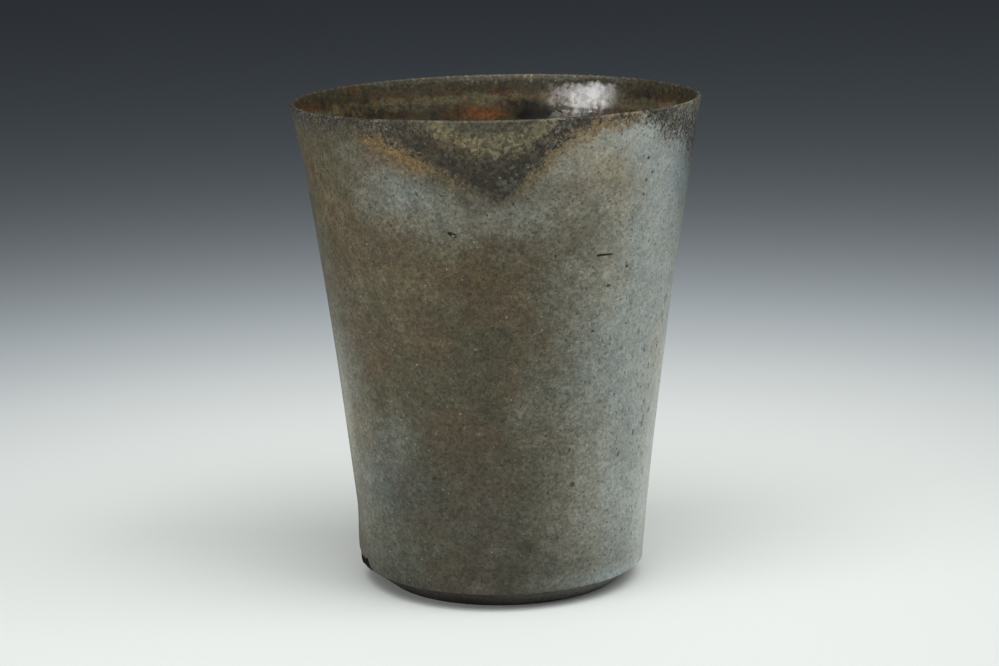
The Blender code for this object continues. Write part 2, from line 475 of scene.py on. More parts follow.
def liner_outline(azimuth):
    turn = azimuth / (2 * math.pi)
    centre = bowl(FILLET_TOP) - FILLET
    high = mix(RING_FAINT, 1, sector(math.degrees(azimuth), RING_AZIMUTH, RING_SPAN))

    def ridge(run):
        off = (run + RING_PITCH / 2) % RING_PITCH - RING_PITCH / 2
        return RING_HEIGHT * high * math.exp(-(off / RING_WIDTH) ** 2)

    face = [(0, FLOOR_TOP)]
    for r in steps(0, centre, 36)[1:]:
        face.append((r, FLOOR_TOP + ridge(r + turn * RING_PITCH) * float(ease(0, RING_EYE, r))))
    face += arc(centre, FILLET_TOP, FILLET, -90, 0, 10)[1:]
    seen = LINER_TOP - SEEN_DEPTH
    for z in steps(FILLET_TOP, seen, 120)[1:] + steps(seen, LINER_TOP, 88)[1:]:
        spiral = z - RING_START - (turn - RING_TURN) * RING_PITCH
        face.append((bowl(z) - ridge(spiral) * float(ease(RING_END, RING_FULL, z)), z))
    back = [(bowl(z) + COAT - BACK_GAP, z) for z in steps(LINER_TOP, FILLET_TOP, 12)]
    back += arc(centre, FILLET_TOP, FILLET + COAT - BACK_GAP, 0, -90, 6)[1:]
    return face + back + [(0, FLOOR_TOP - COAT + BACK_GAP)]


def make_lumpy(mesh):
    """Moves the inside's face in and out a little."""
    for vertex in mesh.vertices:
        x, y, z = vertex.co
        radius = math.hypot(x, y)
        if FILLET_TOP < z < LIP_Z and radius < bowl(z) + COAT / 2:
            lump = noise.noise(vertex.co / LUMP) + 0.3 * noise.noise(vertex.co * 2 / LUMP)
            vertex.co.xy *= 1 + LUMP_HEIGHT * lump * float(ease(LIP_Z, LIP_Z - LUMP_FADE, z)) / radius


def laid(azimuths, heights, patches):
    """What several patches add up to, each with its strength last."""
    return sum(strong * patch(azimuths, heights, *place) for *place, strong in patches)


def paint_inside(mesh):
    """Where the liner's colours change, for each vertex."""
    azimuths, heights = on_wall(mesh)[:2]
    for name, patches in (("blush", BLUSHES), ("burn_and_reflection", BURNS_AND_DARK_REFLECTION), ("dull", DULLS)):
        keep(mesh, name, laid(azimuths, heights, patches))
    glossy = GLOSS_RISE * sector(azimuths, GLOSS_AZIMUTH, GLOSS_SPAN)
    keep(mesh, "below", 1000 * LIP_Z - heights + glossy)
    far = sector(azimuths, ASH_GLINT_AZIMUTH, ASH_GLINT_SPAN) * ease(*ASH_GLINT_START, azimuths % 360)
    keep(mesh, "ash_and_glint", mix(ASH_GLINT_LEAST, 1, far))


# Colours of the liner glaze, which the inside of the rim glaze melts into. Below is the depth under the lip.
AMBER, OLIVE_AMBER = (0.058, 0.034, 0.012), (0.047, 0.036, 0.016)
BROWN_RUN = (0.026, 0.018, 0.008)
ORANGE = (0.180, 0.056, 0.013)
STRAW = (0.130, 0.106, 0.055)
STRAW_DEPTH = 4.6  # millimetres, of the pale line under the ash
BURNT_AND_REFLECTED_DARK = (0.010, 0.006, 0.002)
LIP_ASH, PALE_LIP_ASH = (0.035, 0.029, 0.017), (0.080, 0.067, 0.040)
# under the lip: partly pale ash, partly a painted highlight where light catches the back of the lip
DRY_EDGE_AND_GLINT = (0.124, 0.114, 0.088)
CRUMB_AND_GLINT = (0.220, 0.204, 0.156)
WARM_FLECK, COOL_FLECK = (1.17, 1.00, 0.74), (0.84, 1.04, 1.10)  # they tint what is under them
LINER_MASKS = ("Blush", "Burn_And_Reflection", "Dull", "Below", "Ash_And_Glint")
liner, given, result = shader_group(
    "amber_liner", LINER_MASKS,
    {"Color": "NodeSocketColor", "Roughness": "NodeSocketFloat", "Height": "NodeSocketFloat",
     "Gloss": "NodeSocketFloat"})
grit = add(liner, "ShaderNodeGroup", {"Strength": 0.55}, node_tree=speckle).outputs
flecks, hue = cells(liner, 0.0008)[1:]
dimples, lumps, clouds = grain(liner, 0.0012), grain(liner, 0.0024), grain(liner, 0.011)
runs = grain(liner, 0.003, stretch=4)
colour = blend(liner, rise(liner, clouds, 0.40, 0.62), AMBER, OLIVE_AMBER)
colour = blend(liner, rise(liner, runs, 0.50, 0.70), colour, BROWN_RUN)
blush = rise(liner, stirred(liner, given["Blush"], (lumps, 0.9), (dimples, 0.5)), 0.15, 1.1)
colour = blend(liner, blush, colour, ORANGE)
off_line = work_out(liner, "ABSOLUTE", work_out(liner, "SUBTRACT", given["Below"], STRAW_DEPTH))
pale = rise(liner, stirred(liner, off_line, (lumps, 5)), 1.8, 0.3)
colour = blend(liner, times(liner, pale, 0.68), colour, STRAW)
# nearly black where iron came through, and in one place a painted dark reflection
burn_and_reflection = rise(liner, stirred(liner, given["Burn_And_Reflection"], (lumps, 0.7), (dimples, 0.4)), 0.2, 0.9)
colour = blend(liner, burn_and_reflection, colour, BURNT_AND_REFLECTED_DARK)
ashy = rise(liner, stirred(liner, given["Below"], (lumps, 2.4), (dimples, 2)), 2.6, 0.7)
ashy = times(liner, ashy, rise(liner, given["Blush"], 0.9, 0))
ash = blend(liner, rise(liner, dimples, 0.50, 0.68), LIP_ASH, PALE_LIP_ASH)
colour = blend(liner, times(liner, ashy, 0.85), colour, ash)
# painted highlight along the back of the lip, with pale ash crumbs
edge = rise(liner, stirred(liner, given["Below"], (lumps, 0.9), (dimples, 0.9)), 0.9, 0.2)
colour = blend(liner, times(liner, edge, given["Ash_And_Glint"], 0.75), colour, DRY_EDGE_AND_GLINT)
crumbs_and_glints = times(liner, rise(liner, given["Below"], 1.8, 0.2), dots(liner, 0.0013, 0.36, 0.65))
colour = blend(liner, times(liner, crumbs_and_glints, given["Ash_And_Glint"], 0.80), colour, CRUMB_AND_GLINT)
colour = blend(liner, 1, colour, blend(liner, hue, WARM_FLECK, COOL_FLECK), "MULTIPLY")
liner.links.new(blend(liner, 1, colour, grit["Shade"], "MULTIPLY"), result["Color"])
matt = work_out(liner, "MULTIPLY_ADD", ashy, 0.25, 0.45)
liner.links.new(stirred(liner, matt, (lumps, 0.3)), result["Roughness"])
liner.links.new(work_out(liner, "MULTIPLY_ADD", dimples, 0.5, grit["Grit"]), result["Height"])
clear = stirred(liner, work_out(liner, "SUBTRACT", 1, given["Dull"]), (flecks, 0.55))
bare = work_out(liner, "SUBTRACT", 1, ashy)
liner.links.new(times(liner, bare, rise(liner, clear, 0.1, 1.1)), result["Gloss"])


def colours_of(group, masks, tree):
    """A group of colours placed in a material. Each mask is read from the mesh, under its name in small
    letters."""
    inputs = {mask: read(tree, mask.lower()) for mask in masks}
    return add(tree, "ShaderNodeGroup", inputs, node_tree=group).outputs


liner_mesh = turned("liner_coat", liner_outline, LINER_COLUMNS)
paint_inside(liner_mesh)
make_lumpy(liner_mesh)
thrown_by_hand(liner_mesh)
gloss = {"Specular IOR Level": 0.35, "Coat IOR": 1.9, "Coat Roughness": 0.15}
amber_glaze, tree, liner_shader, liner_height = fired_material("amber_glaze", gloss, relief=0.00004)
mixed = colours_of(liner, LINER_MASKS, tree)
tree.links.new(mixed["Color"], liner_shader["Base Color"])
tree.links.new(mixed["Roughness"], liner_shader["Roughness"])
tree.links.new(mixed["Height"], liner_height)
tree.links.new(mixed["Gloss"], liner_shader["Coat Weight"])
finish_piece("liner_coat", liner_mesh, amber_glaze, "liner_glaze")


# Outer glaze: a thin satin coat. The cup was dipped in it at a slant, four times, so its upper edge is
# arched. Kiln vapour clouded it blue-grey, mostly on the right. Low on the right edge its palest veil is
# partly painted sheen, and high there its dark is partly painted reflection; a painted highlight runs along
# the lower right edge, and painted shade along the lower front edge. Gas from the clay left small pits.

RIM_BAND = 0.0024
TONGUES = (  # azimuth of the point, span to its left and right in degrees, depth
    (0, 30, 20, 0.0117),
    (86, 36, 24, 0.0125),
    (172, 32, 26, 0.0135),
    (262, 34, 22, 0.0108),
)
OUTER_COLUMNS, OUTER_ROWS, BACK_ROWS = 400, 150, 24
EDGE_WAVER = 0.00022  # how uneven the lower edge is
EDGE_WAVES, EDGE_CHIPS = 9, 40  # of that edge, per radian
EDGE_ROUND = 0.0001
EDGE_TOP = 0.012  # all of it lies below this
VEIL_START, VEIL_END = (0, 56), (150, 105)  # azimuths between which the grey veil sets in and fades out
VEIL_MOST = 1.9
VEIL_FOOT = 0.8  # the part of it that is left near the foot
VEIL_HEIGHTS = (2, 16)  # millimetres, between which it grows to the whole
TONGUE_CRISP = 0.88  # lower lets the edges of the tongues break up more
BLOOMS_AND_SHEEN = (  # grey veil, with painted sheen in a few marked below: azimuth, height, half width in degrees, half height in millimetres, strength
    (-31, 86, 15, 7.5, 0.56),
    (-12, 82, 10, 4.5, 0.24),
    (-13, 79, 10, 4.5, 0.15),
    (7, 82, 13, 4.5, 0.56),
    (25, 78, 9, 5.0, -0.16),
    (30, 95, 14, 7.0, 0.53),
    (36, 90, 6, 4.0, -0.26),
    (16, 91, 7, 4.0, 0.36),
    (52, 89, 6, 4.0, 0.14),
    (43, 97, 7, 4.0, 0.48),
    (56, 82, 11, 16, 0.27),
    (64, 58, 10, 20, 0.10),
    (68, 44, 7, 13, -0.15),
    (-75, 38, 11, 18, 1.0),
    (-75, 71, 9, 6.0, 0.18),
    (-67, 36, 5, 8.0, -0.22),
    (-41, 36, 9, 6.0, 0.30),
    (-60, 44, 10, 20, 0.25),
    (-66, 13, 13, 8.0, 0.24),
    (-50, 25, 16, 9.0, 0.36),
    (-44, 11, 8, 4.0, 0.12),
    (-44, 95, 7, 3.0, 0.15),
    (8, 43, 8, 6.0, 0.24),
    (36, 61, 6, 4.5, 0.13),
    (20, 69, 7, 5.0, 0.12),
    (-6, 18, 30, 16, 0.22),
    (60, 40, 30, 50, 0.20),
    # painted sheen: this and the next entry make the low right edge pale, partly thick veil and partly a
    # painted reflection of the bright floor at the grazing edge
    (82, 24, 15, 28, 1.7),
    (78, 14, 9, 9.0, 0.50),
    # painted highlight: a pale line along the coat's lower edge on the right
    (32, 5.5, 34, 2.0, 0.40),
    (-40, 6, 24, 2.4, 0.12),
    (205, 84, 34, 9.0, 0.60),
    (232, 45, 22, 20, 0.70),
    (162, 30, 16, 18, 0.50),
)
TANS = (  # paler and yellower
    (-36, 68, 19, 7.0, 0.35),
    (-60, 84, 18, 13, 0.30),
    (-62, 35, 11, 4.0, 0.45),
    (24, 22, 13, 9.0, 0.12),
    (22, 76, 12, 7.0, 0.20),
    (32, 88, 10, 6.0, 0.45),
    (150, 60, 24, 16, 0.40),
    (-130, 70, 24, 16, 0.40),
)
TONES = (  # darker
    # partly the dark tongue, partly painted shade and dark reflection at the top of the right edge
    (80, 88, 12, 14, 0.50),
    (-8, 20, 34, 20, 0.47),
    (-42, 24, 18, 9.0, 0.24),
    # painted shade: darker along the coat's lower front edge, where a line of shade lies under it
    (-10, 4, 60, 7.0, 0.26),
    (34, 7, 22, 10, 0.24),
    (-9, 54, 12, 15, 0.18),
    (-40, 5, 26, 4.0, 0.10),
    (-50, 5, 14, 2.5, 0.10),
    (2, 83, 14, 4.0, 0.16),
    (68, 87, 8, 6.0, 0.12),
    (68, 34, 6, 9.0, 0.06),
    (-8, 95.5, 7, 1.6, -0.25),
    (4, 98, 6, 1.5, -0.25),
    (4, 89, 5, 2.5, -0.30),
    (-19, 98.7, 6, 1.8, -0.24),
    (6, 97, 4, 2.4, -0.14),
    (-12, 97, 4, 1.4, -0.12),
    (-12, 91, 4, 2.0, 0.12),
    (55, 95, 7, 3.0, 0.15),
    # painted highlight: lighter along the lower edge on the right
    (50, 4.3, 20, 1.4, -0.18),
    (1.5, 59, 2.4, 1.2, 0.28),
    (9, 13.8, 3.0, 1.2, 0.20),
    (66, 97, 12, 4.0, -0.18),
    (52, 34, 5, 6.0, 0.16),
    (52, 11, 6, 5.0, 0.12),
    (12, 77, 6, 3.5, 0.12),
    (-12, 13, 7, 6.0, 0.10),
    (40, 46, 6, 6.0, 0.10),
    (120, 12, 40, 10, 0.2),
    (-160, 14, 50, 9.0, 0.2),
)
COOLS = (  # bluer, or yellower where negative
    (-26, 87, 12, 4.0, 0.75),
    (-44, 30, 16, 10, 0.80),
    (-56, 18, 14, 9.0, 0.70),
    (-54, 8, 22, 4.0, 1.0),
    (24, 50, 18, 12, 0.60),
    # the top of the right edge is bluer: partly a painted reflection of the dark backdrop
    (68, 86, 10, 7.0, 0.50),
    (-62, 82, 12, 11, -0.75),
    (-24, 74, 12, 6.0, -0.40),
    (30, 92, 10, 6.0, -1.1),
    (42, 84, 8, 6.0, -0.60),
    (16, 96, 8, 3.0, -0.6),
    (-12, 95, 6, 3.0, -0.6),
    (-36, 98, 6, 3.0, -0.5),
    (-75, 34, 7, 8.0, -0.5),
    (-62, 35, 9, 5.0, -0.4),
    (36, 69, 8, 6.0, -0.45),
    (-66, 7, 12, 4.0, 0.5),
    (-45, 4.5, 26, 1.4, 0.9),
    # painted highlight: the pale line along the lower right edge is bluish
    (34, 4.5, 24, 1.3, 0.5),
    (-22, 96, 12, 3.0, -0.7),
    (66, 46, 8, 14, -0.45),
    (140, 70, 30, 20, 0.40),
    (-120, 40, 30, 20, -0.40),
)
DARK_EDGE = (  # where the dark of the rim glaze ends: azimuth in degrees, height in millimetres
    (-162, 98.0), (-132, 98.2), (-98, 87.2), (-76, 98.6), (-42, 98.7), (-33, 97.2),
    (-18, 92.0), (1, 84.6), (20, 97.6), (28, 100.2), (42, 100.5), (47, 98.8),
    (56, 95.5), (74, 90.0), (86, 85.6), (110, 98.0), (140, 98.2), (172, 84.6),
)
KHAKI_EDGE = (  # khaki ash lies on the rim glaze above this; it is out of reach where it is over the lip
    (-172, 103), (-112, 103), (-98, 94), (-86, 103), (-26, 103), (-18, 99),
    (-10, 95.6), (-4, 94.4), (5, 94.6), (10, 96.2), (16, 101), (20, 103),
    (46, 103), (56, 100), (90, 99.8), (100, 103), (156, 103), (172, 92.5),
)
FRINGES = (  # rust along the dark's edge: azimuth, half width in degrees, strength
    (-29, 13, 1.0),
    (-10, 8, 0.30),
    (13, 7, 0.60),
    (27, 8, 0.65),
    (39, 7, 0.60),
    (53, 6, 0.45),
    (110, 20, 0.5),
    (160, 24, 0.8),
    (-150, 22, 0.6),
    (-100, 20, 0.3),
)
SALTS = (  # pale grains among the dark
    (66, 18, 0.9),
    (90, 18, 0.7),
    (130, 20, 0.5),
    (-60, 20, 0.5),
    (-33, 4, 0.6),
    (17, 4, 0.7),
)


def glaze_line(azimuth):
    """Height where the outer glaze ends under the rim glaze; azimuth in degrees."""
    drop = 0
    for point, left_span, right_span, depth in TONGUES:
        away = short_way(azimuth, point)
        share = -away / left_span if away < 0 else away / right_span
        drop = max(drop, depth * (1 - share))
    return LIP_Z - RIM_BAND - drop


def lower_edge(azimuth):
    """Height of the coat's lower edge; azimuth in degrees."""
    turn = math.radians(azimuth)
    ragged = noise.noise(Vector((math.sin(turn), math.cos(turn), 0)) * EDGE_WAVES)
    chipped = noise.noise(Vector((math.sin(turn), math.cos(turn), 3)) * EDGE_CHIPS)
    return BEVEL_TOP + EDGE_WAVER * abs(ragged + 0.4 * chipped) + broken(azimuth)


def tree_inputs(tree, inputs):
    """Gives a Geometry Nodes tree its named inputs and its geometry output. Returns the inputs' outputs."""
    for name, kind in inputs.items():
        tree.interface.new_socket(name, in_out="INPUT", socket_type="NodeSocket" + kind)
    tree.interface.new_socket("Geometry", in_out="OUTPUT", socket_type="NodeSocketGeometry")
    return add(tree, "NodeGroupInput").outputs


# The coat follows a rule: each column of a grid runs up the face from the lower edge to the glaze line,
# and down the back. The source holds one point for each column, on the glaze line and one metre out.
dipping = bpy.data.node_groups.new("dipped_coat", "GeometryNodeTree")
given = tree_inputs(dipping, {
    "Geometry": "Geometry", "Columns": "Int", "Rows": "Int", "Back Rows": "Int", "Bevel Top": "Float",
    "Lip Height": "Float", "Edge Radius": "Float", "Rim Radius": "Float", "Wall Bow": "Float",
    "Thickness": "Float", "Material": "Material",
})
rows_in_all = work_out(dipping, "ADD", work_out(dipping, "ADD", given["Rows"], given["Back Rows"]), 3)
grid = add(dipping, "GeometryNodeMeshGrid", {
    "Vertices X": work_out(dipping, "ADD", given["Columns"], 1), "Vertices Y": rows_in_all})
index = add(dipping, "GeometryNodeInputIndex").outputs[0]
column = work_out(dipping, "FLOOR", work_out(dipping, "DIVIDE", index, rows_in_all))
row = work_out(dipping, "MODULO", index, rows_in_all)
line = add(dipping, "GeometryNodeSampleIndex", {
    "Geometry": given["Geometry"], "Value": add(dipping, "GeometryNodeInputPosition").outputs[0],
    "Index": column}, data_type="FLOAT_VECTOR").outputs[0]
edge_name = add(dipping, "GeometryNodeInputNamedAttribute", {"Name": "lower_edge"}, data_type="FLOAT")
edge = add(dipping, "GeometryNodeSampleIndex", {
    "Geometry": given["Geometry"], "Value": edge_name.outputs[0],
    "Index": column}, data_type="FLOAT").outputs[0]
spot = add(dipping, "ShaderNodeSeparateXYZ", {0: line}).outputs
back_end = work_out(dipping, "SUBTRACT", rows_in_all, 2)
up_face = work_out(dipping, "DIVIDE", row, given["Rows"])
down_back = work_out(dipping, "DIVIDE", work_out(dipping, "SUBTRACT", back_end, row), given["Back Rows"])
share = work_out(dipping, "MINIMUM", work_out(dipping, "MINIMUM", up_face, down_back), 1)
share = work_out(dipping, "MAXIMUM", share, 0)
on_back = times(dipping, work_out(dipping, "GREATER_THAN", row, given["Rows"]),
                work_out(dipping, "LESS_THAN", row, work_out(dipping, "ADD", back_end, 0.5)))
height = work_out(dipping, "MULTIPLY_ADD", work_out(dipping, "SUBTRACT", spot["Z"], edge), share, edge)
up_wall = work_out(dipping, "DIVIDE", work_out(dipping, "SUBTRACT", height, given["Bevel Top"]),
                   work_out(dipping, "SUBTRACT", given["Lip Height"], given["Bevel Top"]))
widening = work_out(dipping, "SUBTRACT", given["Rim Radius"], given["Edge Radius"])
cone = work_out(dipping, "MULTIPLY_ADD", widening, up_wall, given["Edge Radius"])
bow = times(dipping, up_wall, given["Wall Bow"], work_out(dipping, "MULTIPLY_ADD", up_wall, -4, 4))
radius = work_out(dipping, "SUBTRACT", work_out(dipping, "SUBTRACT", cone, bow),
                  times(dipping, on_back, given["Thickness"]))
place = add(dipping, "ShaderNodeCombineXYZ", {
    "X": times(dipping, spot["X"], radius), "Y": times(dipping, spot["Y"], radius), "Z": height}).outputs[0]
wrapped = add(dipping, "GeometryNodeSetPosition", {"Geometry": grid.outputs["Mesh"], "Position": place})
closed = add(dipping, "GeometryNodeMergeByDistance", {"Geometry": wrapped.outputs[0], "Distance": 1e-6})
coated = add(dipping, "GeometryNodeSetMaterial", {
    "Geometry": closed.outputs[0], "Material": given["Material"]})
add(dipping, "NodeGroupOutput", {0: coated.outputs[0]})


def grown(source, tree, values):
    """The plain mesh that a Geometry Nodes tree makes from a source mesh, with its inputs set by name."""
    holder = bpy.data.objects.new("holder", source)
    bpy.context.scene.collection.objects.link(holder)
    modifier = holder.modifiers.new("grow", "NODES")
    modifier.node_group = tree
    for socket in tree.interface.items_tree:
        if socket.in_out == "INPUT" and socket.name in values:
            modifier[socket.identifier] = values[socket.name]
    view = bpy.context.evaluated_depsgraph_get()
    mesh = bpy.data.meshes.new_from_object(holder.evaluated_get(view))
    mesh.materials.clear()
    holder.modifiers.remove(modifier)
    bpy.data.objects.remove(holder)
    return mesh


# The map that the outer coat's colours are baked on. It has a tall row for the front half of the face and one
# for the half behind, and narrow strips for the hidden sides. The numbers are where each starts.
FRONT_ROW, BEHIND_ROW, ROW_TALL = 0.52, 0.03, 0.47
BACK_STRIP, TOP_STRIP, FOOT_STRIP, STRIP_TALL = 0.002, 0.012, 0.02, 0.007
FACING = 0.3  # a face looks out or in where its normal does so by more than this


def lay_out(mesh):
    """Gives the outer coat the map that its colours are baked on."""
    azimuths, heights, radii = on_wall(mesh)
    up = (heights - heights.min()) / np.ptp(heights)
    thick = (radii - radii.min()) / np.ptp(radii)
    places = mesh.uv_layers.new(name="OFBake").data
    for face in mesh.polygons:
        middle = math.degrees(math.atan2(face.center.x, -face.center.y))
        out = (face.normal.x * face.center.x + face.normal.y * face.center.y) / math.hypot(*face.center.xy)
        half, row = (0, FRONT_ROW) if abs(middle) < 90 else (180, BEHIND_ROW)
        strip = BACK_STRIP if out < -FACING else TOP_STRIP if face.normal.z > 0 else FOOT_STRIP
        for loop in face.loop_indices:
            i = mesh.loops[loop].vertex_index
            turn = middle + short_way(azimuths[i], middle)
            if out > FACING:
                places[loop].uv = (short_way(turn, half) + 90) / 180, row + ROW_TALL * up[i]
            else:
                share = up[i] if out < -FACING else thick[i]
                places[loop].uv = (turn + 180) / 360, strip + STRIP_TALL * share


def wall_spot(azimuth, height):
    """A point of the finished outside, from degrees and millimetres."""
    turn, z = math.radians(azimuth), height / 1000
    return Vector((wall(z) * math.sin(turn), -wall(z) * math.cos(turn), z))


# Marks in the outer glaze: from azimuth and height to azimuth and height, half width and depth in
# millimetres, and darkness
MARKS = [
    (30.7, 73.1, 35.9, 73.0, 0.22, 0.28, 1),  # gouge
    (-14.5, 78.8, -14.1, 78.5, 0.28, 0.30, 1),  # burst grain, in three dents
    (-14.0, 78.9, -12.7, 78.5, 0.15, 0.22, 1),
    (-13.0, 78.0, -12.4, 78.2, 0.14, 0.20, 1),
    (46.9, 91.5, 46.9, 91.3, 0.28, 0.25, 0.9),
    (49.4, 88.4, 49.4, 88.3, 0.26, 0.25, 0.9),
    (47.0, 87.0, 47.0, 86.9, 0.26, 0.25, 0.9),
    (46.5, 84.2, 46.5, 84.1, 0.24, 0.22, 0.9),
    (42.5, 70.0, 42.7, 70.0, 0.34, 0.25, 0.8),
    (35.4, 66.6, 36.2, 66.6, 0.26, 0.25, 0.9),
    (30.9, 57.7, 31.0, 57.7, 0.24, 0.25, 0.9),
    (21.5, 56.4, 21.5, 56.4, 0.20, 0.22, 0.9),
    (26.5, 26.2, 26.5, 26.2, 0.55, 0.22, 0.65),  # broken bubble
    (-23.5, 86.4, -23.3, 86.0, 0.26, 0.20, 0.6),
    (47.0, 30.4, 47.2, 30.9, 0.34, 0.25, 0.55),
    (55.0, 34.0, 55.2, 34.6, 0.34, 0.25, 0.55),
    (-25.4, 28.0, -25.0, 27.9, 0.20, 0.20, 0.8),
    (-49.5, 25.8, -49.2, 25.8, 0.20, 0.20, 0.8),
    (24.5, 33.4, 24.6, 33.7, 0.26, 0.20, 0.7),
    (15.5, 37.0, 15.5, 37.0, 0.22, 0.20, 0.7),
    (17.0, 28.8, 17.0, 28.8, 0.20, 0.20, 0.7),
    (-36.5, 22.2, -36.3, 22.2, 0.26, 0.20, 0.6),
    (8.0, 85.5, 8.3, 85.5, 0.22, 0.10, 0.8),  # black grains under the tongue
    (4.0, 84.6, 4.1, 84.5, 0.20, 0.10, 0.8),
    (-16.0, 86.2, -15.8, 86.2, 0.20, 0.10, 0.7),
]
STREAKED_PITS = 46  # upright and shallow, at the right
STREAK_AZIMUTH, STREAK_WIDE = 68, 9  # their middle and spread in degrees
STREAK_HEIGHT, STREAK_TALL = 46, 14  # and in millimetres
PINHOLES = 120  # all round, most of them where the veil is
VEILED = (15, 85)  # azimuths
dice = random.Random(11)
for pit in range(STREAKED_PITS):
    azimuth, height = dice.gauss(STREAK_AZIMUTH, STREAK_WIDE), dice.gauss(STREAK_HEIGHT, STREAK_TALL)
    tall = dice.uniform(0.2, 1.0)
    wide, deep, dark = dice.uniform(0.26, 0.42), dice.uniform(0.10, 0.20), dice.uniform(0.15, 0.45)
    MARKS.append((azimuth, height, azimuth, height + tall, wide, deep, dark))
for pit in range(PINHOLES):
    azimuth = dice.choice((dice.uniform(-180, 180), dice.uniform(*VEILED)))
    height = dice.uniform(7, 88)
    wide, deep, dark = dice.uniform(0.12, 0.24), dice.uniform(0.08, 0.22), dice.uniform(0.3, 0.9)
    MARKS.append((azimuth, height, azimuth, height, wide, deep, dark))
MARK_STEP = 0.0002  # between the dents that a long mark is made of
MARK_MARGIN = 0.0006  # finer faces reach this far from a mark's middle
MARK_REACH = 0.0012  # and this much more for each millimetre of its half width
MARK_CUTS = 3
DENT_FLAT, DENT_BRIM = 0.6, 1.25  # where a dent's bottom ends and where its brim is, in half widths
EDGE_BEND = 1.2  # radians between the faces that meet at the lower edge, at least


def cut_marks(mesh):
    """Cuts the marks into the coat's face, with finer faces round each, and blunts the lower edge."""
    form = bmesh.new()
    form.from_mesh(mesh)
    bmesh.ops.recalc_face_normals(form, faces=form.faces)
    pit = form.verts.layers.float.new("pit")

    def finder(spots):
        tree = kdtree.KDTree(len(spots))
        for i, spot in enumerate(spots):
            tree.insert(spot, i)
        tree.balance()
        return tree

    def along(azimuth, height, end_azimuth, end_height):
        start, end = wall_spot(azimuth, height), wall_spot(end_azimuth, end_height)
        count = max(1, round((end - start).length / MARK_STEP))
        return [start.lerp(end, share) for share in steps(0, 1, count)]

    def on_lower_edge(edge):
        if len(edge.link_faces) != 2 or edge.calc_face_angle(0) <= EDGE_BEND:
            return False
        return all(v.co.z < EDGE_TOP and math.hypot(v.co.x, v.co.y) > wall(v.co.z) - 0.2 * COAT
                   for v in edge.verts)

    faces = list(form.faces)
    near_faces = finder([face.calc_center_median() for face in faces])
    edges = set()
    for *ends, wide, deep, dark in MARKS:
        for spot in along(*ends):
            for centre, i, away in near_faces.find_range(spot, MARK_MARGIN + MARK_REACH * wide):
                if faces[i].normal.dot(Vector((spot.x, spot.y, 0))) > 0:
                    edges.update(faces[i].edges)
    bmesh.ops.subdivide_edges(form, edges=list(edges), cuts=MARK_CUTS, use_grid_fill=True)
    verts = list(form.verts)
    near_verts = finder([vert.co for vert in verts])
    deepest = {}
    for *ends, wide, deep, dark in MARKS:
        flat, brim = DENT_FLAT * wide / 1000, DENT_BRIM * wide / 1000
        for spot in along(*ends):
            out = Vector((spot.x, spot.y, 0)).normalized()
            for place, i, away in near_verts.find_range(spot, brim):
                share = float(ease(brim, flat, away))
                depth = share * deep / 1000
                if (place - spot).dot(out) > -COAT / 2 and depth > deepest.get(i, (0, 0))[1]:
                    deepest[i] = (min(1, 1.4 * share) * dark, depth)
    for i, (share, depth) in deepest.items():
        radius = math.hypot(verts[i].co.x, verts[i].co.y)
        verts[i].co.xy *= 1 - depth / radius
        verts[i][pit] = share
    blunted = [edge for edge in form.edges if on_lower_edge(edge)]
    bmesh.ops.bevel(form, geom=blunted, offset=EDGE_ROUND, segments=1, affect="EDGES", profile=0.5)
    form.to_mesh(mesh)
    form.free()


def paint_outside(mesh):
    """Where the colours of the outside change, for each vertex."""
    azimuths, heights = on_wall(mesh)[:2]
    right = ease(*VEIL_START, azimuths) * ease(*VEIL_END, azimuths)
    bloom_and_sheen = np.clip(right + laid(azimuths, heights, BLOOMS_AND_SHEEN), 0, VEIL_MOST)
    keep(mesh, "bloom_and_sheen", bloom_and_sheen * mix(VEIL_FOOT, 1, ease(*VEIL_HEIGHTS, heights)))
    for name, patches in (("tan", TANS), ("tone", TONES), ("cool", COOLS)):
        keep(mesh, name, laid(azimuths, heights, patches))

    def over(line):
        edge_azimuths, edge_heights = zip(*line)
        return heights - np.interp(azimuths, edge_azimuths, edge_heights, period=360)

    keep(mesh, "tongue", TONGUE_CRISP * over(DARK_EDGE))
    keep(mesh, "ash", over(KHAKI_EDGE))
    for name, stretches in (("fringe", FRINGES), ("salt", SALTS)):
        keep(mesh, name, sum(strong * sector(azimuths, *place) for *place, strong in stretches))


# Colours of the outside, where the outer glaze and the rim glaze melt into each other
WARM_BROWN, OLIVE_BROWN = (0.084, 0.0605, 0.0298), (0.073, 0.0630, 0.0325)
TAN = (0.180, 0.146, 0.078)
# the thick veil colour stands partly for painted sheen of the bright floor, low on the right edge
GREY_VEIL, BLUE_VEIL, THICK_VEIL_AND_SHEEN = (0.265, 0.268, 0.226), (0.282, 0.306, 0.290), (0.46, 0.49, 0.46)
BURNT_SPOT = (0.050, 0.042, 0.031)
CHALK = (0.270, 0.250, 0.190)
TONGUE_BLACK, TONGUE_GREY = (0.026, 0.022, 0.014), (0.069, 0.064, 0.050)
TONGUE_BROWN = (0.050, 0.035, 0.019)
RUST, PALE_RUST = (0.140, 0.088, 0.033), (0.240, 0.152, 0.058)
KHAKI, DEEP_KHAKI, KHAKI_SPOT = (0.156, 0.138, 0.080), (0.084, 0.075, 0.048), (0.046, 0.040, 0.025)
SALT = (0.230, 0.232, 0.210)
WARM, COOL = (1.15, 1.010, 0.82), (0.85, 1.010, 1.15)  # they tint what is under them
PIT = (0.020, 0.016, 0.012)
OUTSIDE_MASKS = ("Bloom_And_Sheen", "Tan", "Tone", "Cool", "Tongue", "Fringe", "Ash", "Salt", "Pit")
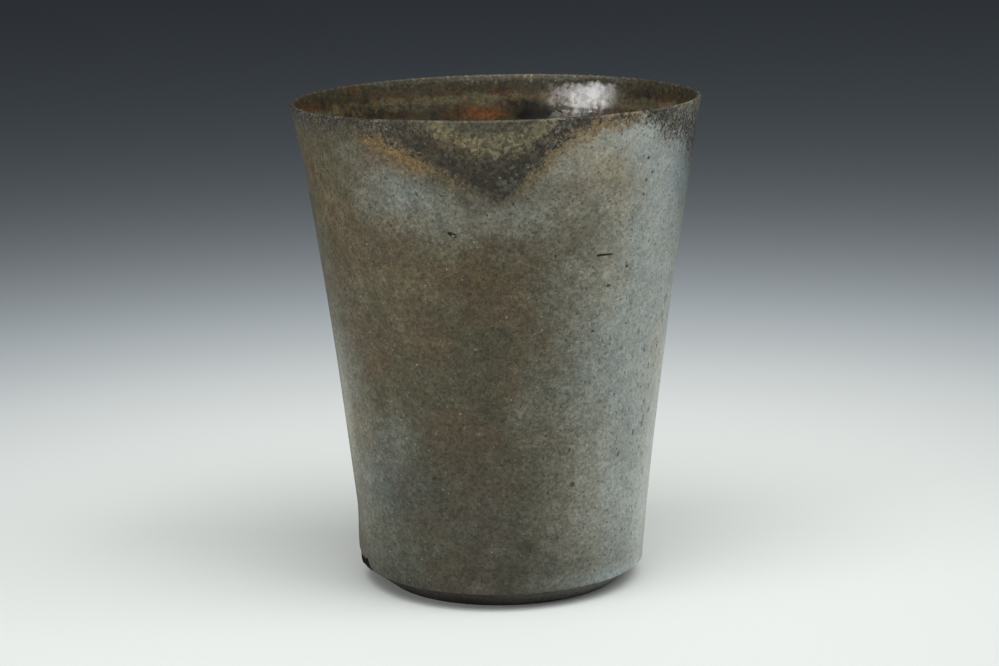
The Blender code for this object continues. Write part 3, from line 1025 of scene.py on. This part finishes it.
outside, given, result = shader_group(
    "satin_outside", OUTSIDE_MASKS,
    {"Color": "NodeSocketColor", "Roughness": "NodeSocketFloat", "Height": "NodeSocketFloat"})
sandy = work_out(outside, "MULTIPLY_ADD", given["Bloom_And_Sheen"], -0.20, 0.60)
grit = add(outside, "ShaderNodeGroup", {"Strength": sandy}, node_tree=speckle).outputs
grains, luck = cells(outside, 0.00034)[1:]
flakes, chance = cells(outside, 0.0007)[1:]
lumps, clouds = grain(outside, 0.0035, 1), grain(outside, 0.012, 1)
colour = blend(outside, rise(outside, clouds, 0.38, 0.62), WARM_BROWN, OLIVE_BROWN)
tan = stirred(outside, given["Tan"], (lumps, 0.5))
colour = blend(outside, rise(outside, tan, 0, 1), colour, TAN)
veil_and_sheen = stirred(outside, given["Bloom_And_Sheen"], (grains, 0.16), (flakes, 0.14), (lumps, 0.34))
grey = blend(outside, rise(outside, veil_and_sheen, 0.7, 1.25), GREY_VEIL, BLUE_VEIL)
colour = blend(outside, rise(outside, veil_and_sheen, -0.1, 1.1), colour, grey)
# painted sheen: where the veil is thickest, low on the right edge, it is partly a reflection of the floor
colour = blend(outside, rise(outside, veil_and_sheen, 1.0, 2.15), colour, THICK_VEIL_AND_SHEEN)
some = work_out(outside, "MULTIPLY_ADD", given["Bloom_And_Sheen"], 0.15, 0.13)
burnt = work_out(outside, "MAXIMUM", dots(outside, 0.0011, 0.30, some), dots(outside, 0.0024, 0.15, some))
colour = blend(outside, times(outside, burnt, 0.6), colour, BURNT_SPOT)
chalky = times(outside, dots(outside, 0.0014, 0.16, 0.5), 0.40)
colour = blend(outside, chalky, colour, CHALK)

# The rim glaze: rust along its edge, then dark, then khaki ash. Its edges break up into grains.
broken_up = stirred(outside, 0, (grains, 1.8), (flakes, 1.6), (lumps, 2.4))
salted = work_out(outside, "ADD", given["Salt"], 1)
edge = work_out(outside, "MULTIPLY_ADD", broken_up, salted, given["Tongue"])
dark = blend(outside, rise(outside, chance, 0.3, 1), TONGUE_BLACK, TONGUE_GREY)
dark = blend(outside, times(outside, rise(outside, lumps, 0.45, 0.65), 0.5), dark, TONGUE_BROWN)
inside_edge = rise(outside, edge, -1.0, 0.9)
colour = blend(outside, inside_edge, colour, dark)
reach = work_out(outside, "MULTIPLY_ADD", given["Fringe"], 3.6, 0.2)
band = times(outside, rise(outside, work_out(outside, "ADD", edge, reach), 0, 1.4),
             rise(outside, edge, 0.5, -0.4), rise(outside, given["Fringe"], 0, 0.7))
rust = times(outside, band, rise(outside, luck, -0.35, 0.75))
colour = blend(outside, rust, colour, blend(outside, chance, RUST, PALE_RUST))
khaki = stirred(outside, given["Ash"], (grains, 2), (flakes, 2.4), (lumps, 3))
well_up = rise(outside, stirred(outside, given["Ash"], (lumps, 5)), 2.2, 5.0)
ash = blend(outside, well_up, KHAKI, DEEP_KHAKI)
ash = blend(outside, times(outside, rise(outside, chance, 0.45, 0.9), 0.8), ash, KHAKI_SPOT)
colour = blend(outside, rise(outside, khaki, -1.6, 1.5), colour, ash)
salt = times(outside, inside_edge, given["Salt"], rise(outside, luck, 0.60, 0.80), 0.8)
colour = blend(outside, salt, colour, SALT)
shade = times(outside, grit["Shade"], stirred(outside, 1, (lumps, 0.25)))
shade = times(outside, shade, work_out(outside, "SUBTRACT", 1, given["Tone"]))
colour = blend(outside, 1, colour, shade, "MULTIPLY")
tint = stirred(outside, given["Cool"], (grain(outside, 0.005, 1), 1.0))
cool = add(outside, "ShaderNodeMapRange", {"Value": tint, "From Min": -1.2, "From Max": 1.2}).outputs[0]
colour = blend(outside, 1, colour, blend(outside, cool, WARM, COOL), "MULTIPLY")
colour = blend(outside, given["Pit"], colour, PIT)
outside.links.new(colour, result["Color"])
matt = work_out(outside, "MULTIPLY_ADD", given["Bloom_And_Sheen"], -0.10, 0.60)
matt = stirred(outside, matt, (grit["Grit"], 0.2))
outside.links.new(work_out(outside, "MULTIPLY_ADD", inside_edge, -0.08, matt), result["Roughness"])
outside.links.new(work_out(outside, "ADD", grit["Grit"], times(outside, lumps, 1.5)), result["Height"])

satin_glaze, tree, outer_shader, outer_height = fired_material(
    "satin_glaze", {"Specular IOR Level": 0.4}, relief=0.000026)
mixed = colours_of(outside, OUTSIDE_MASKS, tree)
tree.links.new(mixed["Color"], outer_shader["Base Color"])
tree.links.new(mixed["Roughness"], outer_shader["Roughness"])
tree.links.new(mixed["Height"], outer_height)

columns = [math.radians(azimuth) for azimuth in steps(0, 360, OUTER_COLUMNS)]
line_mesh = bpy.data.meshes.new("glaze_line")
line_mesh.from_pydata(
    [(math.sin(a), -math.cos(a), glaze_line(math.degrees(a))) for a in columns], [], [])
keep(line_mesh, "lower_edge", [lower_edge(math.degrees(a)) for a in columns])
outer_mesh = grown(line_mesh, dipping, {
    "Columns": OUTER_COLUMNS, "Rows": OUTER_ROWS, "Back Rows": BACK_ROWS, "Bevel Top": BEVEL_TOP,
    "Lip Height": LIP_Z, "Edge Radius": EDGE_RADIUS, "Rim Radius": RIM_RADIUS, "Wall Bow": WALL_BOW,
    "Thickness": COAT - BACK_GAP, "Material": satin_glaze,
})
cut_marks(outer_mesh)
lay_out(outer_mesh)
paint_outside(outer_mesh)
roll_out(outer_mesh)
thrown_by_hand(outer_mesh)
finish_piece("outer_coat", outer_mesh, satin_glaze, "outer_glaze")


# Rim glaze: a dark ash glaze over the lip, which ran down in pointed tongues between the dips.
# It is satin outside, with khaki ash on it, and melts into the glossy liner inside.

RIM_ROWS = 40


def rim_outline(azimuth):
    low = glaze_line(math.degrees(azimuth))
    face = [(wall(z), z) for z in steps(low, LIP_Z, RIM_ROWS)]
    face += arc(RIM_RADIUS - LIP_ROUND, LIP_Z, LIP_ROUND, 0, 180, 10)[1:]
    face += [(bowl(z), z) for z in steps(LIP_Z, LINER_TOP, 10)[1:]]
    back = [(bowl(z) + COAT - BACK_GAP, z) for z in steps(LINER_TOP, LIP_Z, 2)]
    back += arc(RIM_RADIUS - LIP_ROUND, LIP_Z, LIP_ROUND - COAT + BACK_GAP, 180, 0, 6)[1:]
    back += [(wall(z) - COAT + BACK_GAP, z) for z in steps(LIP_Z, low, 2)[1:]]
    return face + back


rim_mesh = turned("rim_coat", rim_outline, OUTER_COLUMNS)
paint_outside(rim_mesh)
paint_inside(rim_mesh)
azimuths, heights, radii = on_wall(rim_mesh)
middle = (wall(heights / 1000) + bowl(heights / 1000)) / 2
keep(rim_mesh, "inside", ease(LIP_ROUND / 2, -LIP_ROUND / 2, radii - middle))
make_lumpy(rim_mesh)
thrown_by_hand(rim_mesh)

ash_glaze, tree, rim_shader, rim_height = fired_material("ash_glaze", gloss, relief=0.00004)
out = colours_of(outside, OUTSIDE_MASKS, tree)
inner = colours_of(liner, LINER_MASKS, tree)
within = read(tree, "inside")
tree.links.new(blend(tree, within, out["Color"], inner["Color"]), rim_shader["Base Color"])
tree.links.new(times(tree, within, inner["Gloss"]), rim_shader["Coat Weight"])
for socket, target in (("Roughness", rim_shader["Roughness"]), ("Height", rim_height)):
    change = work_out(tree, "SUBTRACT", inner[socket], out[socket])
    tree.links.new(work_out(tree, "MULTIPLY_ADD", change, within, out[socket]), target)
finish_piece("rim_coat", rim_mesh, ash_glaze, "rim_glaze")


# Grit: grains of feldspar that the firing left pale on the surface, and grains of iron that melted to dark
# spots. They sit half sunk in the glazes. A few of the pale grains also stand for painted glints, on the back
# of the lip and just above the scar.

GRIT_FOOT = 5  # millimetres; no grain is strewn below this
PALE_GRAINS, PALE_TOP = 220, 96  # how many, and up to which height in millimetres
PALE_SIZES = (0.00009, 0.00026)  # least and greatest radius
IRON_SPOTS, IRON_TOP = 110, 90
IRON_SIZES = (0.00008, 0.00022)
LIP_GRAINS_AND_GLINTS = 100
LIP_SIZES = (0.00006, 0.00016)
LIP_SWEEP = 150  # degrees over the lip, from the outside
PALE_STRETCH = 157  # azimuth where most of the lip's grains lie; there they are partly painted glints on the back of the lip
NARROW, WIDE = 8, 30  # degrees that they spread there
PLACED_GRAINS_AND_GLINTS = (  # azimuth, height, radius in millimetres
    (-37, 84.7, 0.24),
    (3.4, 45, 0.27),
    (-13.8, 42, 0.24),
    (-17, 53.7, 0.22),
    (-39.8, 58, 0.20),
    (12, 47.3, 0.22),
    (-13.4, 78.3, 0.24),
    (0.5, 89.8, 0.24),
    (54, 65, 0.20),
    (11.5, 68, 0.18),
    (-34, 68.5, 0.18),
    (-21.5, 72.5, 0.18),
    # these two pale grains above the scar are partly a painted glint, where light catches the glaze's rolled
    # edge
    (-79, 6.4, 0.30),
    (-76, 7.2, 0.22),
)

grits = bpy.data.node_groups.new("grit_on_wall", "GeometryNodeTree")
given = tree_inputs(grits, {
    "Geometry": "Geometry", "Flatness": "Float", "Unevenness": "Float", "Seed": "Int",
    "Material": "Material",
})
size = add(grits, "GeometryNodeInputNamedAttribute", {"Name": "size"}, data_type="FLOAT").outputs[0]
out = add(grits, "ShaderNodeVectorMath", {
    0: add(grits, "GeometryNodeInputPosition").outputs[0], 1: (1, 1, 0)}, operation="MULTIPLY").outputs[0]
facing = add(grits, "FunctionNodeAlignRotationToVector", {"Vector": out}, axis="Z").outputs[0]
least = work_out(grits, "SUBTRACT", 1, given["Unevenness"])
most = work_out(grits, "ADD", 1, given["Unevenness"])
shape = add(grits, "FunctionNodeRandomValue", {
    0: add(grits, "ShaderNodeCombineXYZ", {0: least, 1: least, 2: given["Flatness"]}).outputs[0],
    1: add(grits, "ShaderNodeCombineXYZ", {0: most, 1: most, 2: given["Flatness"]}).outputs[0],
    "Seed": given["Seed"]}, data_type="FLOAT_VECTOR").outputs[0]
scale = add(grits, "ShaderNodeVectorMath", {0: shape, "Scale": size}, operation="SCALE").outputs[0]
ball = add(grits, "GeometryNodeMeshIcoSphere", {"Radius": 1, "Subdivisions": 1})
placed = add(grits, "GeometryNodeInstanceOnPoints", {
    "Points": given["Geometry"], "Instance": ball.outputs[0], "Rotation": facing, "Scale": scale})
real = add(grits, "GeometryNodeRealizeInstances", {0: placed.outputs[0]})
finished = add(grits, "GeometryNodeSetMaterial", {"Geometry": real.outputs[0], "Material": given["Material"]})
add(grits, "NodeGroupOutput", {0: finished.outputs[0]})


def grit_piece(name, places, material, flatness):
    """Grains at (point, radius in metres), as one piece."""
    source = bpy.data.meshes.new(name)
    source.from_pydata([point for point, size in places], [], [])
    keep(source, "size", [size for point, size in places])
    mesh = grown(source, grits, {"Flatness": flatness, "Unevenness": 0.3, "Seed": 3, "Material": material})
    roll_out(mesh)
    thrown_by_hand(mesh)
    finish_piece(name, mesh, material, sharp=180)


def grit_material(name, dull, clear, roughness):
    material, tree, shader, height = fired_material(name, {"Roughness": roughness}, relief=0.00002)
    grit = add(tree, "ShaderNodeGroup", {"Strength": 0.35}, node_tree=speckle).outputs
    colour = blend(tree, rise(tree, grain(tree, 0.004), 0.35, 0.65), dull, clear)
    tree.links.new(blend(tree, 1, colour, grit["Shade"], "MULTIPLY"), shader["Base Color"])
    tree.links.new(grit["Dust"], height)
    return material


feldspar_and_glints = grit_material("feldspar_and_glints", (0.17, 0.155, 0.105), (0.27, 0.25, 0.19), roughness=0.6)
iron = grit_material("melted_iron", (0.022, 0.019, 0.017), (0.045, 0.038, 0.032), roughness=0.3)
dice = random.Random(23)


def strewn(count, top, sizes):
    """Places for grains all round the wall."""
    places = []
    for one in range(count):
        spot = wall_spot(dice.uniform(-180, 180), dice.uniform(GRIT_FOOT, top))
        places.append((spot, dice.uniform(*sizes)))
    return places


pale = [(wall_spot(azimuth, height), size / 1000) for azimuth, height, size in PLACED_GRAINS_AND_GLINTS]
pale += strewn(PALE_GRAINS, PALE_TOP, PALE_SIZES)
grit_piece("pale_grains", pale, feldspar_and_glints, flatness=0.35)
dark = strewn(IRON_SPOTS, IRON_TOP, IRON_SIZES)
grit_piece("iron_spots", dark, iron, flatness=0.15)
on_lip = []
for one in range(LIP_GRAINS_AND_GLINTS):
    turn = math.radians(dice.choice((
        dice.uniform(0, 360), dice.gauss(PALE_STRETCH, NARROW), dice.gauss(PALE_STRETCH, WIDE))))
    over = math.radians(dice.uniform(0, LIP_SWEEP))
    radius = RIM_RADIUS - LIP_ROUND + LIP_ROUND * math.cos(over)
    spot = Vector((radius * math.sin(turn), -radius * math.cos(turn), LIP_Z + LIP_ROUND * math.sin(over)))
    on_lip.append((spot, dice.uniform(*LIP_SIZES)))
grit_piece("lip_grains_and_glints", on_lip, feldspar_and_glints, flatness=0.6)


# Stage: a plain pale floor that falls away to slate, soft lamps round the cup, and the photograph's view.

FLOOR_REACH = 4.0
PALE_REACH = 0.267  # the floor is half as pale this far out
FALL = 3.3  # how quickly it darkens there
FLOOR_PALE, FLOOR_GREY, FLOOR_SLATE = (0.766, 0.800, 0.776), (0.344, 0.378, 0.402), (0.049, 0.058, 0.067)
GREY_AT = 0.4  # of the way from slate to pale
floor_mesh = bpy.data.meshes.new("floor")
floor_form = bmesh.new()
bmesh.ops.create_circle(floor_form, cap_ends=True, segments=96, radius=FLOOR_REACH)
floor_form.to_mesh(floor_mesh)
floor_form.free()
floor = bpy.data.objects.new("floor", floor_mesh)
bpy.context.scene.collection.objects.link(floor)
paper = bpy.data.materials.new("paper")
paper.use_nodes = True
tree = paper.node_tree
away = add(tree, "ShaderNodeVectorMath", {0: add(tree, "ShaderNodeTexCoord").outputs["Object"]},
           operation="LENGTH").outputs["Value"]
far = work_out(tree, "POWER", work_out(tree, "DIVIDE", away, PALE_REACH), FALL)
near = work_out(tree, "DIVIDE", 1, work_out(tree, "ADD", far, 1))
far_half = add(tree, "ShaderNodeMapRange", {"Value": near, "From Max": GREY_AT}).outputs[0]
near_half = add(tree, "ShaderNodeMapRange", {"Value": near, "From Min": GREY_AT}).outputs[0]
colour = blend(tree, near_half, blend(tree, far_half, FLOOR_SLATE, FLOOR_GREY), FLOOR_PALE)
paper_shader = tree.nodes["Principled BSDF"].inputs
tree.links.new(colour, paper_shader["Base Color"])
paper_shader["Roughness"].default_value = 0.9
paper_shader["Specular IOR Level"].default_value = 0.0
floor_mesh.materials.append(paper)

ROOM_LIGHT = 0.35
SLATE = (0.030, 0.036, 0.042, 1)
world = bpy.data.worlds.new("studio")
bpy.context.scene.world = world
world.use_nodes = True
tree = world.node_tree
rays = add(tree, "ShaderNodeLightPath").outputs
seen = work_out(tree, "MAXIMUM", work_out(tree, "MAXIMUM", rays["Is Camera Ray"], rays["Is Glossy Ray"]),
                rays["Is Transmission Ray"])
sky = add(tree, "ShaderNodeMix", {0: seen, 6: (ROOM_LIGHT, ROOM_LIGHT, ROOM_LIGHT, 1), 7: SLATE},
          data_type="RGBA")
tree.links.new(sky.outputs[2], tree.nodes["Background"].inputs["Color"])


def softbox(name, azimuth, elevation, distance, size, power):
    """A soft lamp that faces the middle of the cup: angles in degrees, width and height, and watts."""
    lamp = bpy.data.lights.new(name, "AREA")
    lamp.shape = "RECTANGLE"
    lamp.size, lamp.size_y = size
    lamp.energy = power
    made = bpy.data.objects.new(name, lamp)
    bpy.context.scene.collection.objects.link(made)
    a, e = math.radians(azimuth), math.radians(elevation)
    out = Vector((math.sin(a) * math.cos(e), -math.cos(a) * math.cos(e), math.sin(e)))
    made.location = Vector((0, 0, HEIGHT / 2)) + out * distance
    made.rotation_euler = out.to_track_quat("Z", "Y").to_euler()


softbox("overhead", 0, 66, 1.5, (1.5, 1.15), 14.4)
softbox("right", 66, 48, 1.6, (1.1, 1.0), 9.2)
softbox("front_left", -54, 15, 0.9, (0.58, 0.30), 1.6)
softbox("front_left_core", -63, 15, 0.9, (0.36, 0.24), 0.75)

PICTURE_WIDTH = 999  # pixels
FOCAL_PIXELS = 2605
SENSOR = 36  # millimetres
CAMERA_PLACE = (0, -0.5309, 0.1604)
PITCH = math.radians(11.592)  # how far it looks down
TILT = math.radians(1.05)  # how far it is turned clockwise
camera_data = bpy.data.cameras.new("camera")
camera = bpy.data.objects.new("camera", camera_data)
bpy.context.scene.collection.objects.link(camera)
bpy.context.scene.camera = camera
camera_data.sensor_width = SENSOR
camera_data.lens = SENSOR * FOCAL_PIXELS / PICTURE_WIDTH
camera_data.clip_start, camera_data.clip_end = 0.01, 10
camera.matrix_world = (Matrix.Translation(CAMERA_PLACE) @ Matrix.Rotation(math.pi / 2 - PITCH, 4, "X")
                       @ Matrix.Rotation(-TILT, 4, "Z"))
bpy.context.scene.view_settings.view_transform = "Standard"
